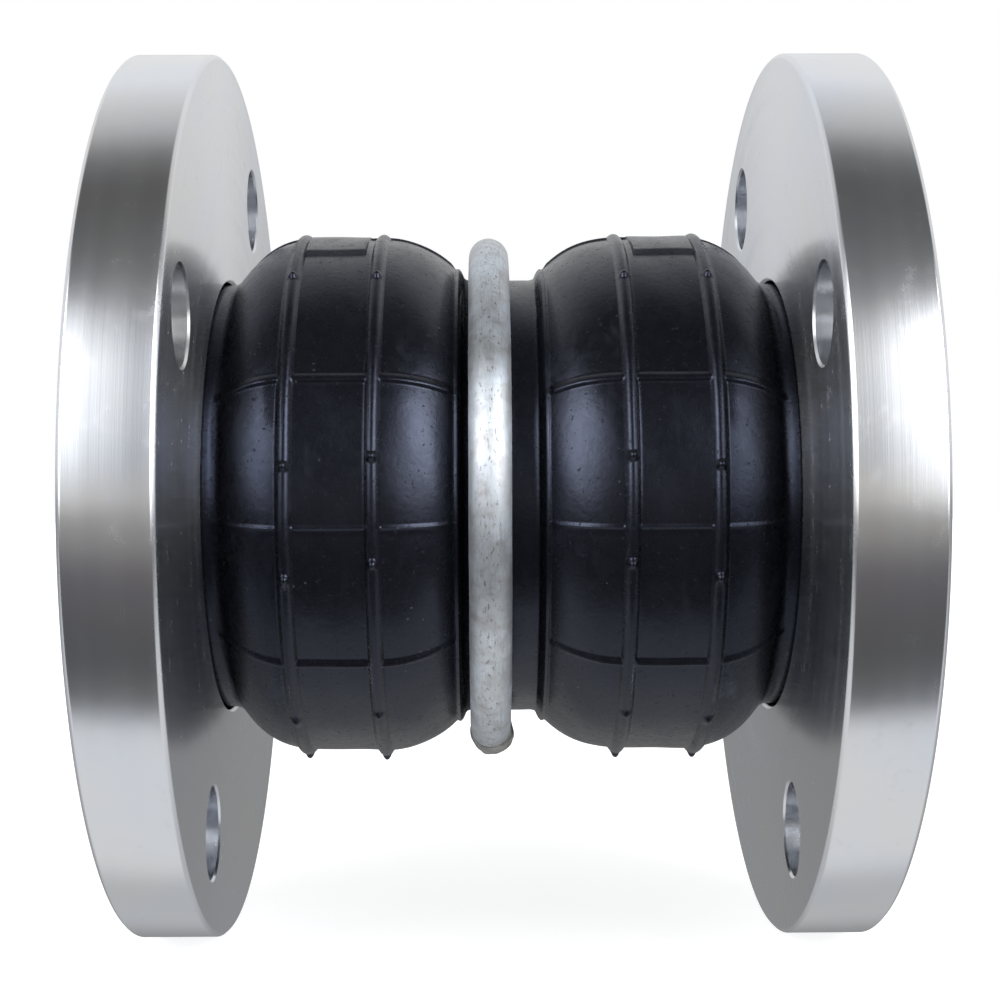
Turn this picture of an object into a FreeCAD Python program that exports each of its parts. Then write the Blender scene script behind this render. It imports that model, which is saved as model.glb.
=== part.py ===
import FreeCAD, Part
import math
import os

# Twin-sphere rubber expansion joint with floating steel flanges, 3 inch size. Millimetres.
# Frame: +X along the pipe, +Z up, origin at the centre of the joint.
# Every profile is drawn as (x, r) for the right-hand half, x >= 0, then mirrored and revolved.

# Flanges: 3 inch class 150 drilling
FLANGE_RADIUS = 95.25
FLANGE_THICKNESS = 17.0
FLANGE_GAP = 118.0
BOLT_CIRCLE_RADIUS = 76.2
BOLT_HOLE_RADIUS = 9.525
BOLT_COUNT = 4
BOLT_TURN_DEG = 25.75
RIM_CHAMFER = 0.8
BORE_CHAMFER = 1.2
HOLE_CHAMFER = 0.45
RECESS_DEPTH = 9.2
RECESS_RADIUS = 61.5
LIP_RADIUS = 2.2

# Rubber wall, from the pipe bore outwards
BORE_RADIUS = 37.5
TUBE_THICKNESS = 2.3
PLY_THICKNESS = 0.7
PLY_COUNT = 4
COVER_THICKNESS = 2.4
SKIM_GAP = 0.3

# Outer mould line of the wall
WAIST_RADIUS = 47.5
CROWN_RADIUS = 56.1
CROWN_START = 25.0
CROWN_END = 40.0
INNER_SHOULDER_RADIUS = 22.0
INNER_SLOPE_DEG = 46.0
WAIST_FILLET = 3.0
OUTER_SHOULDER_RADIUS = 18.0
OUTER_SLOPE_DEG = 50.0
NECK_FILLET = 4.0

# Moulded hoops that stand out of the cover
HOOP_CENTRES = (25.0, 42.0)
HOOP_HALF_WIDTH = 1.9
HOOP_HEIGHT = 1.4
GROOVE_EDGE = 8.8
GROOVE_EDGE_RADIUS = 1.0

# Moulded ribs along each sphere, in pairs that edge its mould segments
RIB_PAIRS = 3
RIB_PAIR_DEG = 60.0
RIB_FIRST_DEG = -36.5
RIB_WIDTH = 2.4
RIB_HEIGHT = 0.85
RIB_START = 9.5
RIB_END = 56.5

# Raised blank pad on top of each sphere, between its hoops
PAD_START = 28.0
PAD_END = 40.3
PAD_SPAN_DEG = 53.0
PAD_HEIGHT = 0.75

# Sealing collars at the ends
FACE_TO_FACE = 165.0
COLLAR_RADIUS = 61.0
COLLAR_START = 62.0
COLLAR_EDGE_RADIUS = 3.0
COLLAR_CHAMFER = 1.0
SEAT_CLEARANCE = 0.3
NECK_CLEARANCE = 0.6
HEEL_RADIUS = 2.5
BUTT_GAP = 0.1
FLARE_CENTRE_X = 74.0
FLARE_TOP_RADIUS = 57.0
FLARE_INNER_RADIUS = 2.0

# Bead inside each collar
WRAP_LOW = (69.2, 46.6)
WRAP_HIGH = (75.4, 58.0)
WRAP_THICKNESS = 0.6
WRAP_CORNER = 1.8
WIRE_RADIUS = 0.7
WIRE_PITCH = 1.55
WIRE_COLUMNS = 3
WIRE_ROWS = 6

# Root ring in the waist
RING_ROD_RADIUS = 4.25
RING_CLEARANCE = 0.5
RING_SHIFT = -2.3
RING_GAP_DEG = 2.5
WELD_ANGLE_DEG = -80.0
WELD_SPAN_DEG = 9.0
WELD_RADIUS = 4.8
WELD_RISE = 0.65

# Derived
INNER_FACE = FLANGE_GAP / 2
OUTER_FACE = INNER_FACE + FLANGE_THICKNESS
SEAT_X = OUTER_FACE - RECESS_DEPTH
FACE_X = FACE_TO_FACE / 2
WALL = TUBE_THICKNESS + PLY_COUNT * PLY_THICKNESS + COVER_THICKNESS + (PLY_COUNT + 1) * SKIM_GAP
NECK_RADIUS = BORE_RADIUS + WALL
FLANGE_BORE = NECK_RADIUS + NECK_CLEARANCE
RING_RADIUS = WAIST_RADIUS + RING_CLEARANCE + RING_ROD_RADIUS

X_AXIS = FreeCAD.Vector(1, 0, 0)
ORIGIN = FreeCAD.Vector(0, 0, 0)


def point(x, r):
    """A profile point, drawn in the XZ plane."""
    return FreeCAD.Vector(x, 0, r)


def line(a, b):
    return Part.LineSegment(point(*a), point(*b)).toShape()


def arc(a, middle, b):
    return Part.Arc(point(*a), point(*middle), point(*b)).toShape()


def polar(centre, radius, degrees):
    """The point at an angle from the +x direction, turning towards +r."""
    angle = math.radians(degrees)
    return centre[0] + radius * math.cos(angle), centre[1] + radius * math.sin(angle)


def arc_about(centre, radius, start_deg, end_deg):
    middle_deg = (start_deg + end_deg) / 2
    return arc(polar(centre, radius, start_deg), polar(centre, radius, middle_deg), polar(centre, radius, end_deg))


def revolve(edges, span_deg=360.0):
    """A closed ring of profile edges, turned about the pipe axis."""
    wire = Part.Wire(Part.__sortEdges__(edges))
    return Part.Face(wire).revolve(ORIGIN, X_AXIS, span_deg)


def polygon(points):
    return [line(a, b) for a, b in zip(points, points[1:] + points[:1])]


def mirrored(shape):
    return shape.mirror(ORIGIN, X_AXIS)


def mirrored_edges(edges):
    return [edge.mirror(ORIGIN, X_AXIS) for edge in edges]


def about_pipe(shape, degrees):
    """Turn a shape drawn at the top, +Z, to an elevation seen from the -Y side: 0 is -Y, 90 is +Z."""
    turned = shape.copy()
    turned.rotate(ORIGIN, X_AXIS, 90.0 - degrees)
    return turned


def wall_line(depth, end_x):
    """Half of the wall's mould line, moved inwards by depth, from the mid-plane to end_x."""
    shoulder = INNER_SHOULDER_RADIUS - depth
    waist_fillet = WAIST_FILLET + depth
    outer = OUTER_SHOULDER_RADIUS - depth
    neck_fillet = NECK_FILLET + depth
    inner_centre = (CROWN_START, CROWN_RADIUS - INNER_SHOULDER_RADIUS)
    outer_centre = (CROWN_END, CROWN_RADIUS - OUTER_SHOULDER_RADIUS)
    crown = CROWN_RADIUS - depth

    slope = math.radians(INNER_SLOPE_DEG)
    drop = CROWN_RADIUS - WAIST_RADIUS - (INNER_SHOULDER_RADIUS + WAIST_FILLET) * (1 - math.cos(slope))
    waist_x = CROWN_START - (INNER_SHOULDER_RADIUS + WAIST_FILLET) * math.sin(slope) - drop / math.tan(slope)
    waist_centre = (waist_x, WAIST_RADIUS + WAIST_FILLET)

    slope = math.radians(OUTER_SLOPE_DEG)
    drop = CROWN_RADIUS - NECK_RADIUS - (OUTER_SHOULDER_RADIUS + NECK_FILLET) * (1 - math.cos(slope))
    neck_x = CROWN_END + (OUTER_SHOULDER_RADIUS + NECK_FILLET) * math.sin(slope) + drop / math.tan(slope)
    neck_centre = (neck_x, NECK_RADIUS + NECK_FILLET)

    waist_end = polar(waist_centre, waist_fillet, -90 + INNER_SLOPE_DEG)
    shoulder_start = polar(inner_centre, shoulder, 90 + INNER_SLOPE_DEG)
    outer_end = polar(outer_centre, outer, 90 - OUTER_SLOPE_DEG)
    neck_start = polar(neck_centre, neck_fillet, -90 - OUTER_SLOPE_DEG)
    return [
        line((0, WAIST_RADIUS - depth), (waist_x, WAIST_RADIUS - depth)),
        arc_about(waist_centre, waist_fillet, -90, -90 + INNER_SLOPE_DEG),
        line(waist_end, shoulder_start),
        arc_about(inner_centre, shoulder, 90 + INNER_SLOPE_DEG, 90),
        line((CROWN_START, crown), (CROWN_END, crown)),
        arc_about(outer_centre, outer, 90, 90 - OUTER_SLOPE_DEG),
        line(outer_end, neck_start),
        arc_about(neck_centre, neck_fillet, -90 - OUTER_SLOPE_DEG, -90),
        line((neck_x, NECK_RADIUS - depth), (end_x, NECK_RADIUS - depth)),
    ]


def wall_layer(outer_depth, inner_depth, end_x):
    """A layer of the wall between two depths under the mould line, ended square at both ends."""
    outer = wall_line(outer_depth, end_x)
    inner = wall_line(inner_depth, end_x)
    cap = line((end_x, NECK_RADIUS - outer_depth), (end_x, NECK_RADIUS - inner_depth))
    half = outer + inner + [cap]
    return revolve(half + mirrored_edges(half))


def hoop(x, radius, half_width, height):
    """A moulded hoop with a domed top, its foot sunk into the cover."""
    foot = radius - COVER_THICKNESS / 2
    return revolve([
        arc((x - half_width, radius), (x, radius + height), (x + half_width, radius)),
        line((x + half_width, radius), (x + half_width, foot)),
        line((x + half_width, foot), (x - half_width, foot)),
        line((x - half_width, foot), (x - half_width, radius)),
    ])


def groove_edge():
    """The small raised edge each side of the waist groove."""
    radius = WAIST_RADIUS + GROOVE_EDGE_RADIUS
    circle = Part.Circle(point(GROOVE_EDGE, radius + GROOVE_EDGE_RADIUS / 2),
                         FreeCAD.Vector(0, 1, 0), GROOVE_EDGE_RADIUS)
    return Part.Face(Part.Wire(circle.toShape())).revolve(ORIGIN, X_AXIS, 360)


def rib():
    """One lengthwise rib of the right sphere, drawn at the top, its foot sunk into the cover."""
    sunk = COVER_THICKNESS / 2
    start_cap = line((0, WAIST_RADIUS + RIB_HEIGHT), (0, WAIST_RADIUS - sunk))
    end_cap = line((COLLAR_START, NECK_RADIUS + RIB_HEIGHT), (COLLAR_START, NECK_RADIUS - sunk))
    edges = wall_line(-RIB_HEIGHT, COLLAR_START) + wall_line(sunk, COLLAR_START) + [start_cap, end_cap]
    face = Part.Face(Part.Wire(Part.__sortEdges__(edges)))
    face.translate(FreeCAD.Vector(0, -RIB_WIDTH / 2, 0))
    plate = face.extrude(FreeCAD.Vector(0, RIB_WIDTH, 0))
    corner = FreeCAD.Vector(RIB_START, -RIB_WIDTH, 0)
    return plate.common(Part.makeBox(RIB_END - RIB_START, 2 * RIB_WIDTH, 2 * CROWN_RADIUS, corner))


def ribs():
    """The ribs of the right sphere."""
    placed = []
    for pair in range(RIB_PAIRS):
        first = RIB_FIRST_DEG + pair * 360.0 / RIB_PAIRS
        placed += [about_pipe(rib(), first), about_pipe(rib(), first + RIB_PAIR_DEG)]
    return placed


def pad():
    """The raised pad on top of the right sphere."""
    foot = CROWN_RADIUS - COVER_THICKNESS / 2
    top = CROWN_RADIUS + PAD_HEIGHT
    section = [(PAD_START, foot), (PAD_END, foot), (PAD_END, top), (PAD_START, top)]
    raised = revolve(polygon(section), PAD_SPAN_DEG)
    raised.rotate(ORIGIN, X_AXIS, -PAD_SPAN_DEG / 2)
    return raised


def outer_cover():
    """The cover, with its hoops, groove edges, ribs and pads moulded on."""
    cover = wall_layer(0, COVER_THICKNESS, COLLAR_START - BUTT_GAP)
    crown_hoop, shoulder_hoop = HOOP_CENTRES
    shoulder_drop = OUTER_SHOULDER_RADIUS - math.sqrt(
        OUTER_SHOULDER_RADIUS ** 2 - (shoulder_hoop - CROWN_END) ** 2)
    raised = [
        hoop(crown_hoop, CROWN_RADIUS, HOOP_HALF_WIDTH, HOOP_HEIGHT),
        hoop(shoulder_hoop, CROWN_RADIUS - shoulder_drop, HOOP_HALF_WIDTH, HOOP_HEIGHT),
        groove_edge(),
        pad(),
    ]
    raised += ribs()
    return cover.fuse(raised + [mirrored(shape) for shape in raised]).removeSplitter()


def inner_tube():
    return wall_layer(WALL - TUBE_THICKNESS, WALL, COLLAR_START - BUTT_GAP)


def ply_depth(number):
    """Depth of the outer side of cord ply 1 (next to the tube) to PLY_COUNT (under the cover)."""
    from_cover = PLY_COUNT - number
    return COVER_THICKNESS + SKIM_GAP + from_cover * (PLY_THICKNESS + SKIM_GAP)


def flare(depth, centre):
    """A ply surface from the mid-plane, through the neck and up behind the sealing face."""
    radius = centre[1] - (NECK_RADIUS - depth)
    return wall_line(depth, centre[0]) + [
        arc_about(centre, radius, -90, 0),
        line((centre[0] + radius, centre[1]), (centre[0] + radius, FLARE_TOP_RADIUS)),
    ]


def flare_centre():
    outermost = NECK_RADIUS - ply_depth(PLY_COUNT)
    return FLARE_CENTRE_X, outermost + FLARE_INNER_RADIUS


def cord_ply(number):
    """One cord ply: along the wall, through the neck, and turned up over the bead."""
    centre = flare_centre()
    depth = ply_depth(number)
    outer = flare(depth, centre)
    inner = flare(depth + PLY_THICKNESS, centre)
    near = centre[0] + centre[1] - (NECK_RADIUS - depth)
    cap = line((near, FLARE_TOP_RADIUS), (near + PLY_THICKNESS, FLARE_TOP_RADIUS))
    half = outer + inner + [cap]
    return revolve(half + mirrored_edges(half))


def ply_room():
    """The space that the stack of plies takes inside the right collar, with a skim of rubber round it."""
    centre = flare_centre()
    outer_depth = ply_depth(PLY_COUNT) - SKIM_GAP
    inner_depth = ply_depth(1) + PLY_THICKNESS + SKIM_GAP
    outer_radius = centre[1] - (NECK_RADIUS - outer_depth)
    inner_radius = centre[1] - (NECK_RADIUS - inner_depth)
    start = COLLAR_START - 1
    top = FLARE_TOP_RADIUS + SKIM_GAP
    return revolve([
        line((start, NECK_RADIUS - outer_depth), (centre[0], NECK_RADIUS - outer_depth)),
        arc_about(centre, outer_radius, -90, 0),
        line((centre[0] + outer_radius, centre[1]), (centre[0] + outer_radius, top)),
        line((centre[0] + outer_radius, top), (centre[0] + inner_radius, top)),
        line((centre[0] + inner_radius, top), (centre[0] + inner_radius, centre[1])),
        arc_about(centre, inner_radius, 0, -90),
        line((centre[0], NECK_RADIUS - inner_depth), (start, NECK_RADIUS - inner_depth)),
        line((start, NECK_RADIUS - inner_depth), (start, NECK_RADIUS - outer_depth)),
    ])


def bead_room():
    """The space that the wrapped bead takes, open to the plies."""
    ply_side = flare_centre()[0] + FLARE_INNER_RADIUS
    return revolve(polygon([WRAP_LOW, (ply_side, WRAP_LOW[1]), (ply_side, WRAP_HIGH[1]), (WRAP_LOW[0], WRAP_HIGH[1])]))


def sealing_collar():
    """The thick rubber end that seals against the mating flange, hollow for the plies and the bead."""
    back = SEAT_X + SEAT_CLEARANCE
    heel_centre = (back - HEEL_RADIUS, NECK_RADIUS + HEEL_RADIUS)
    edge_centre = (FACE_X - COLLAR_EDGE_RADIUS, BORE_RADIUS + COLLAR_EDGE_RADIUS)
    body = revolve([
        line((COLLAR_START, BORE_RADIUS), (edge_centre[0], BORE_RADIUS)),
        arc_about(edge_centre, COLLAR_EDGE_RADIUS, -90, 0),
        line((FACE_X, edge_centre[1]), (FACE_X, COLLAR_RADIUS - COLLAR_CHAMFER)),
        line((FACE_X, COLLAR_RADIUS - COLLAR_CHAMFER), (FACE_X - COLLAR_CHAMFER, COLLAR_RADIUS)),
        line((FACE_X - COLLAR_CHAMFER, COLLAR_RADIUS), (back + COLLAR_CHAMFER, COLLAR_RADIUS)),
        line((back + COLLAR_CHAMFER, COLLAR_RADIUS), (back, COLLAR_RADIUS - COLLAR_CHAMFER)),
        line((back, COLLAR_RADIUS - COLLAR_CHAMFER), (back, heel_centre[1])),
        arc_about(heel_centre, HEEL_RADIUS, 0, -90),
        line((heel_centre[0], NECK_RADIUS), (COLLAR_START, NECK_RADIUS)),
        line((COLLAR_START, NECK_RADIUS), (COLLAR_START, BORE_RADIUS)),
    ])
    return body.cut([ply_room(), bead_room()])


def rounded_box_edges(low, high, corner):
    """A rectangle in the profile plane with four equal round corners."""
    (x0, r0), (x1, r1) = low, high
    return [
        line((x0 + corner, r0), (x1 - corner, r0)),
        arc_about((x1 - corner, r0 + corner), corner, -90, 0),
        line((x1, r0 + corner), (x1, r1 - corner)),
        arc_about((x1 - corner, r1 - corner), corner, 0, 90),
        line((x1 - corner, r1), (x0 + corner, r1)),
        arc_about((x0 + corner, r1 - corner), corner, 90, 180),
        line((x0, r1 - corner), (x0, r0 + corner)),
        arc_about((x0 + corner, r0 + corner), corner, 180, 270),
    ]


def wire_circles():
    """The cross-sections of the bead wires, in rows and columns about the bead's middle."""
    middle_x = (WRAP_LOW[0] + WRAP_HIGH[0]) / 2
    middle_r = (WRAP_LOW[1] + WRAP_HIGH[1]) / 2
    circles = []
    for column in range(WIRE_COLUMNS):
        for row in range(WIRE_ROWS):
            x = middle_x + (column - (WIRE_COLUMNS - 1) / 2) * WIRE_PITCH
            r = middle_r + (row - (WIRE_ROWS - 1) / 2) * WIRE_PITCH
            circle = Part.Circle(point(x, r), FreeCAD.Vector(0, 1, 0), WIRE_RADIUS)
            circles.append(Part.Wire(circle.toShape()))
    return circles


def bead_core():
    """The bundle of endless steel wires."""
    return Part.makeCompound([Part.Face(wire).revolve(ORIGIN, X_AXIS, 360) for wire in wire_circles()])


def wrap_inside():
    low = (WRAP_LOW[0] + WRAP_THICKNESS, WRAP_LOW[1] + WRAP_THICKNESS)
    high = (WRAP_HIGH[0] - WRAP_THICKNESS, WRAP_HIGH[1] - WRAP_THICKNESS)
    return revolve(rounded_box_edges(low, high, WRAP_CORNER - WRAP_THICKNESS))


def bead_filler():
    """The hard rubber that the bead wires lie in."""
    return wrap_inside().cut(bead_core().Solids)


def bead_wrap():
    """The fabric strip wound round the filler."""
    return revolve(rounded_box_edges(WRAP_LOW, WRAP_HIGH, WRAP_CORNER)).cut(wrap_inside())


def bolt_hole(degrees):
    """One bolt hole with a chamfer at each mouth."""
    centre = point(INNER_FACE, BOLT_CIRCLE_RADIUS)
    hole = Part.makeCylinder(BOLT_HOLE_RADIUS, FLANGE_THICKNESS, centre, X_AXIS)
    mouth = BOLT_HOLE_RADIUS + HOLE_CHAMFER
    near = Part.makeCone(mouth, BOLT_HOLE_RADIUS, HOLE_CHAMFER, centre, X_AXIS)
    far_start = point(OUTER_FACE - HOLE_CHAMFER, BOLT_CIRCLE_RADIUS)
    far = Part.makeCone(BOLT_HOLE_RADIUS, mouth, HOLE_CHAMFER, far_start, X_AXIS)
    return about_pipe(hole.fuse([near, far]), degrees)


def flange():
    """The right floating flange: a turned plate with a seat for the rubber collar in its outer face."""
    lip_centre = (SEAT_X - LIP_RADIUS, FLANGE_BORE + LIP_RADIUS)
    plate = revolve([
        line((INNER_FACE, FLANGE_BORE + BORE_CHAMFER), (INNER_FACE, FLANGE_RADIUS - RIM_CHAMFER)),
        line((INNER_FACE, FLANGE_RADIUS - RIM_CHAMFER), (INNER_FACE + RIM_CHAMFER, FLANGE_RADIUS)),
        line((INNER_FACE + RIM_CHAMFER, FLANGE_RADIUS), (OUTER_FACE - RIM_CHAMFER, FLANGE_RADIUS)),
        line((OUTER_FACE - RIM_CHAMFER, FLANGE_RADIUS), (OUTER_FACE, FLANGE_RADIUS - RIM_CHAMFER)),
        line((OUTER_FACE, FLANGE_RADIUS - RIM_CHAMFER), (OUTER_FACE, RECESS_RADIUS)),
        line((OUTER_FACE, RECESS_RADIUS), (SEAT_X, RECESS_RADIUS)),
        line((SEAT_X, RECESS_RADIUS), (SEAT_X, lip_centre[1])),
        arc_about(lip_centre, LIP_RADIUS, 0, -90),
        line((lip_centre[0], FLANGE_BORE), (INNER_FACE + BORE_CHAMFER, FLANGE_BORE)),
        line((INNER_FACE + BORE_CHAMFER, FLANGE_BORE), (INNER_FACE, FLANGE_BORE + BORE_CHAMFER)),
    ])
    step = 360.0 / BOLT_COUNT
    return plate.cut([bolt_hole(BOLT_TURN_DEG + number * step) for number in range(BOLT_COUNT)])


def ring_arc(radius, rod_radius, span_deg):
    """A length of round rod bent about the pipe, centred on the top."""
    circle = Part.Circle(point(RING_SHIFT, radius), FreeCAD.Vector(0, 1, 0), rod_radius)
    rod = Part.Face(Part.Wire(circle.toShape())).revolve(ORIGIN, X_AXIS, span_deg)
    rod.rotate(ORIGIN, X_AXIS, -span_deg / 2)
    return rod


def root_ring():
    """The rod ring, with the small gap between its two ends at the weld."""
    rod = ring_arc(RING_RADIUS, RING_ROD_RADIUS, 360.0 - RING_GAP_DEG)
    return about_pipe(rod, WELD_ANGLE_DEG + 180.0)


def root_ring_weld():
    """The weld that fills the gap and laps over both rod ends."""
    bead = ring_arc(RING_RADIUS + WELD_RISE, WELD_RADIUS, WELD_SPAN_DEG)
    return about_pipe(bead, WELD_ANGLE_DEG).cut(root_ring())


def export(name, shape):
    if not shape.isValid():
        raise RuntimeError(name + " is not valid")
    shape.exportStep("parts/" + name + ".step")
    print(name, len(shape.Solids), "solid(s)", round(shape.Volume, 1), "mm3")


def main():
    os.makedirs("parts", exist_ok=True)
    one_off = {
        "outer_cover": outer_cover(),
        "inner_tube": inner_tube(),
        "root_ring": root_ring(),
        "root_ring_weld": root_ring_weld(),
    }
    for name, shape in one_off.items():
        export(name, shape)
    for number in range(1, PLY_COUNT + 1):
        export("cord_ply_" + str(number), cord_ply(number))
    pairs = {
        "flange": flange(),
        "sealing_collar": sealing_collar(),
        "bead_core": bead_core(),
        "bead_filler": bead_filler(),
        "bead_wrap": bead_wrap(),
    }
    for name, shape in pairs.items():
        export("right_" + name, shape)
        export("left_" + name, mirrored(shape))


main()
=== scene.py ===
import math

import bmesh
import bpy
import numpy as np
from mathutils import Matrix, Vector, noise


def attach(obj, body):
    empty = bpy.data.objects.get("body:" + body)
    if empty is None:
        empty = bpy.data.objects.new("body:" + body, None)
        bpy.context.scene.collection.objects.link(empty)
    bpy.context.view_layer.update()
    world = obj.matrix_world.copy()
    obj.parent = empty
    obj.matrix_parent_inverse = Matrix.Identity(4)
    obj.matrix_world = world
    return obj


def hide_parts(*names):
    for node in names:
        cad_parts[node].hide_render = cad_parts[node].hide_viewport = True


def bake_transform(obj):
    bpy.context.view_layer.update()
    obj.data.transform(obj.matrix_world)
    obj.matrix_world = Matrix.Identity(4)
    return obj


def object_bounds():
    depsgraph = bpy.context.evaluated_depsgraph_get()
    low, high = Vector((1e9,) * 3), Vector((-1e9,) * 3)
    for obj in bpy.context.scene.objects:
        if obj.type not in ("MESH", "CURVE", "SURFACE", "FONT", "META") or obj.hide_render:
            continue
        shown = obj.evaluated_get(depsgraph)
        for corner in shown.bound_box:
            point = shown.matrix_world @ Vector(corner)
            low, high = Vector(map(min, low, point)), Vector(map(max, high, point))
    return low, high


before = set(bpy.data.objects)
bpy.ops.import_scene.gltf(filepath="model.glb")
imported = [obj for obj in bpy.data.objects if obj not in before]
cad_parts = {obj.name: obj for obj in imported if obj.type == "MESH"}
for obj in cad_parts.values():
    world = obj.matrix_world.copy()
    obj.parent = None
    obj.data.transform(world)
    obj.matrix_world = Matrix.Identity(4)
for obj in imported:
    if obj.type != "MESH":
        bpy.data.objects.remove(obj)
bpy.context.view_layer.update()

MM = 0.001

# Outer mould line of the rubber wall, millimetres, as (x, r) from the middle of the joint
WAIST_RADIUS = 47.5
CROWN_RADIUS = 56.1
NECK_RADIUS = 46.5
BORE_RADIUS = 37.5
CROWN_START = 25.0
CROWN_END = 40.0
SHOULDER_RADIUS = (22.0, 18.0)
FILLET_RADIUS = (3.0, 4.0)
SLOPE_DEG = (46.0, 50.0)

# Layers of the wall, millimetres
TUBE_THICKNESS = 2.3
COVER_THICKNESS = 2.4
PLY_THICKNESS = 0.7
PLY_COUNT = 4
SKIM_GAP = 0.3

# Where the wall is cut into pieces
CROWN_MIDDLE = 33.5
NECK_START = 58.5
GROOVE_EDGE = 8.5
COLLAR_START = 62.0
FLARE_CENTRE = (74.0, 45.8)
FLARE_TOP = 57.0

# Moulded features of the cover
HOOP_CENTRES = (25.0, 42.0)
HOOP_HALF_WIDTH = 1.55
HOOP_HEIGHT = 1.3
BAND_CENTRES_DEG = (-6.5, 113.5, 233.5)
BAND_HALF_DEG = 30.0
BAND_STARTS = (9.0, 10.5)
BAND_ENDS = (54.0, 57.5)
COVER_FADES = (56.5, 58.0)
FACET_DEPTH = 1.1
EDGE_HEIGHT = 0.6
EDGE_SOFT_SIDE = 1.7
EDGE_SHARP_SIDE = 0.6
FLASH_HEIGHT = 0.28
FLASH_HALF_WIDTH = 0.5
LIP_HEIGHT = 1.1
LIP_HALF_WIDTH = 1.0
PAD_CENTRE_DEG = 90.0
PAD_HALF_DEG = 26.5
PAD_X = (28.0, 40.3)
PAD_HEIGHT = 0.75
PAD_EDGE = 0.35
PIP_RADIUS = 1.05
PIP_HEIGHT = 0.9
PIP_ANGLES_DEG = (51.0, 6.5, -15.0, -52.0, -84.0, -128.0, -161.0, 163.0, 127.0)

# Spacing of the mesh along the mould line, millimetres: moulded skin and plain layers
MOULDED_STEP = 0.3
PLAIN_STEP = 1.4

# Sealing collars and flanges: places along the pipe axis, and radii
COLLAR_SEAT = 67.1
SEALING_FACE = 82.5
COLLAR_RADIUS = 61.0
BEAD_POCKET = (69.2, 58.0)
PLATE_INNER = 59.0
PLATE_OUTER = 76.0
PLATE_RADIUS = 95.25
PLATE_BORE = 47.1
RECESS_FLOOR = 66.8
RECESS_RADIUS = 61.5
PLATE_CHAMFER = 0.8
BORE_CHAMFER = 0.6
BOLT_CIRCLE_RADIUS = 76.2
BOLT_HOLE_RADIUS = 9.525
BOLT_CHAMFER = 0.45
BOLT_TURN_DEG = 25.75

# Root ring and its weld
RING_RADIUS = 52.25
ROD_RADIUS = 4.25
RING_X = -2.3
WELD_DEG = -79.0
WELD_SPAN_DEG = 12.0
WELD_RADIUS = 4.0
WELD_LIFT = 0.35
ROD_GAP_DEG = 1.2

SIDES = (("left", -1.0), ("right", 1.0))

# Camera: place in millimetres, yaw, pitch and roll in radians
CAMERA_X = -3.7
CAMERA_DISTANCE = 391.9
CAMERA_TURN = (-0.0096, 0.0030, -0.0047)
CAMERA_LENS = 63.27

# Soft boxes of the studio: strength of each, then its tone by slope to its side and by elevation in degrees
BOX_LEFT = 8.2
BOX_RIGHT = 10.2
BOX_REACH = 4.0
BOX_LEFT_SIDEWAYS = ((0.17, 0.0), (0.42, 0.14), (0.95, 0.87), (1.4, 1.0), (2.0, 0.8), (2.6, 0.6), (4.0, 0.35))
BOX_RIGHT_SIDEWAYS = ((0.17, 0.0), (0.42, 0.16), (0.95, 0.9), (1.4, 1.0), (2.0, 0.85), (2.6, 0.45), (4.0, 0.08))
BOX_LEFT_UP = ((-5, 0.0), (2, 0.32), (9, 0.82), (18, 1.0), (30, 1.0), (38, 0.45), (46, 0.0))
BOX_RIGHT_UP = ((-5, 0.0), (2, 0.42), (9, 0.75), (18, 0.95), (30, 1.0), (35, 0.75), (40, 0.30), (45, 0.0))


# ---------------------------------------------------------------- meshes

def polar(centre, radius, degrees):
    angle = math.radians(degrees)
    return centre[0] + radius * math.cos(angle), centre[1] + radius * math.sin(angle)


def arc_points(centre, radius, start_deg, end_deg, count):
    """Points along an arc, without its last point."""
    return [polar(centre, radius, start_deg + (end_deg - start_deg) * i / count) for i in range(count)]


def line_points(a, b, count):
    """Points along a line, without its last point."""
    return [(a[0] + (b[0] - a[0]) * i / count, a[1] + (b[1] - a[1]) * i / count) for i in range(count)]


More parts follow.
